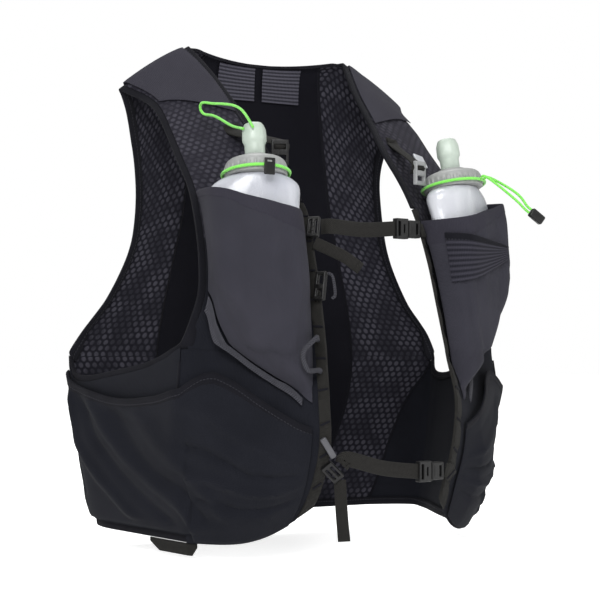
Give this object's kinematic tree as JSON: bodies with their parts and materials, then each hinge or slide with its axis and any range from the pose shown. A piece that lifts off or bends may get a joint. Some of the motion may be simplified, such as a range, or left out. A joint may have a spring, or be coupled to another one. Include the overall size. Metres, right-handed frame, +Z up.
{
  "type": "running hydration vest",
  "caption": "Sleeveless running vest with front flask pockets, soft flasks, chest straps and large stretch side pockets.",
  "frame": {"origin": "midway between the two shoulder seats, under the crests of the shoulder straps", "axes": "+Z up along the wearer's back, -Y out of the front, +X to the wearer's left"},
  "size_m": [0.3806, 0.2373, 0.4316],
  "materials": {
    "binding": "matte folded tape",
    "black_plastic": "satin",
    "bottle": "frosted film",
    "bottle_cap": "satin",
    "elastic": "matte elastic",
    "green_cord": "braided",
    "grey_plastic": "satin",
    "honeycomb_mesh": "matte knitted mesh",
    "pocket_cloth": "matte stretch woven",
    "reflective": "reflective film",
    "ribbed_mesh": "matte ribbed mesh",
    "smooth_cloth": "matte woven",
    "stretch_cloth": "matte stretch knit",
    "valve": "soft satin silicone",
    "webbing": "matte ribbed webbing"
  },
  "bodies": {
    "root": {"accessory_clip": "black_plastic", "armhole_binding_left": "binding", "armhole_binding_right": "binding", "back_mesh_left": "honeycomb_mesh", "back_mesh_right": "honeycomb_mesh", "back_middle": "smooth_cloth", "bite_valve_left": "valve", "bite_valve_right": "valve", "buckle_socket_lower": "black_plastic", "buckle_socket_upper": "black_plastic", "buckle_tongue_lower": "black_plastic", "buckle_tongue_upper": "black_plastic", "chest_strap_lower": "webbing", "chest_strap_upper": "webbing", "clip_loop": "elastic", "cord_end": "black_plastic", "cord_loop": "green_cord", "edge_toggle": "grey_plastic", "flask_body_left": "bottle", "flask_body_right": "bottle", "flask_cap_left": "bottle_cap", "flask_cap_right": "bottle_cap", "flask_cord_1": "green_cord", "flask_cord_2": "green_cord", "flask_pocket_left": "pocket_cloth", "flask_pocket_right": "pocket_cloth", "flask_pull_tab": "black_plastic", "flask_ring_left": "green_cord", "flask_ring_right": "green_cord", "front_panel_left": "honeycomb_mesh", "front_panel_right": "honeycomb_mesh", "front_webbing_left": "webbing", "front_webbing_right": "webbing", "hem_binding": "binding", "hem_tab": "webbing", "neck_binding": "binding", "neck_window_left": "ribbed_mesh", "neck_window_right": "ribbed_mesh", "pocket_elastic_left": "elastic", "pocket_elastic_right": "elastic", "pole_loop": "elastic", "reflective_tab": "reflective", "retainer_buckle_left": "grey_plastic", "retainer_buckle_right": "grey_plastic", "retainer_web_left": "webbing", "retainer_web_right": "webbing", "shoulder_cover_left": "pocket_cloth", "shoulder_cover_right": "pocket_cloth", "side_panel_left": "stretch_cloth", "side_panel_right": "stretch_cloth", "side_pocket_left": "stretch_cloth", "side_pocket_right": "stretch_cloth", "stash_pocket": "ribbed_mesh", "strap_adjuster_lower": "black_plastic", "strap_adjuster_upper": "black_plastic", "strap_anchor_lower": "webbing", "strap_anchor_upper": "webbing", "strap_tail_lower": "webbing", "strap_tail_upper": "webbing"}
  },
  "joints": []
}
